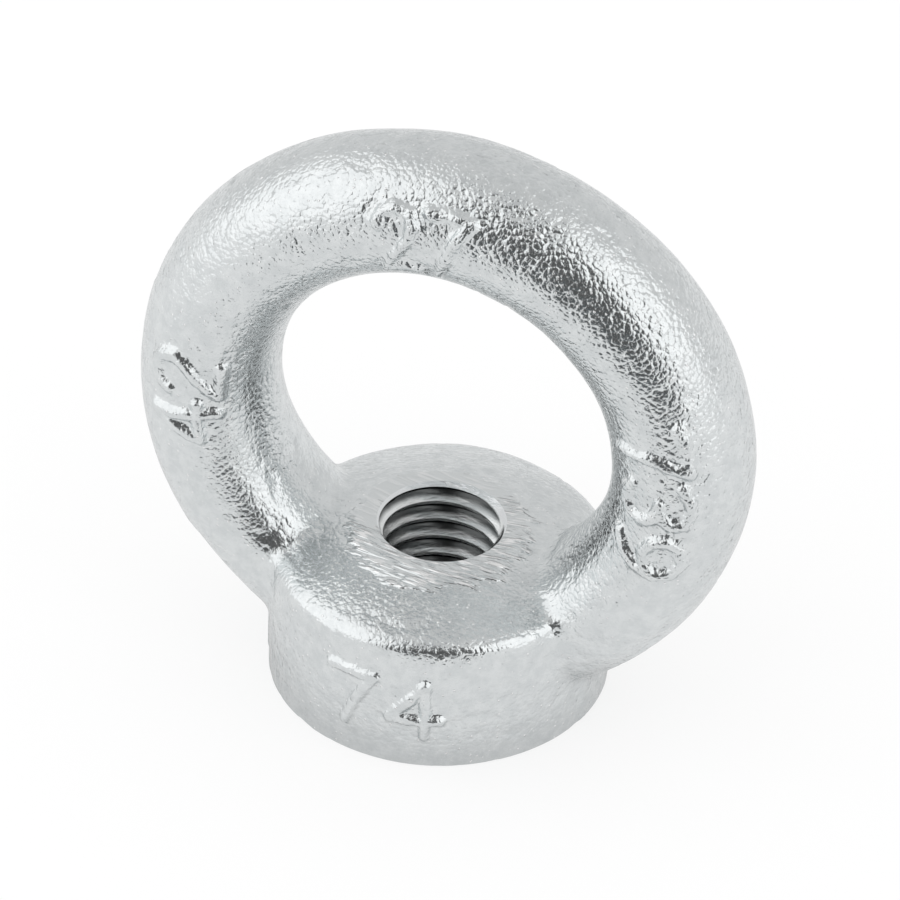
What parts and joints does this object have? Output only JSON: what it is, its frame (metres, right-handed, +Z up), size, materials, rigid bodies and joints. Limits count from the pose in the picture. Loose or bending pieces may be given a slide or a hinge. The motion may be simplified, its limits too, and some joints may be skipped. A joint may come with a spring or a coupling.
{
  "type": "lifting eye nut",
  "caption": "Forged steel lifting eye nut: an upright ring of oval section on a round domed collar with a tapped through hole.",
  "frame": {"origin": "centre of the collar's flat bottom face, on the hole's axis", "axes": "+Z up along the hole's axis through the ring's crown, X across the eye, Y through the eye"},
  "size_m": [0.0362, 0.02, 0.036],
  "materials": {
    "zinc_plated_steel": "bright zinc plating over a forged, slightly dimpled surface"
  },
  "bodies": {
    "root": {"eye_nut": "zinc_plated_steel"}
  },
  "joints": []
}
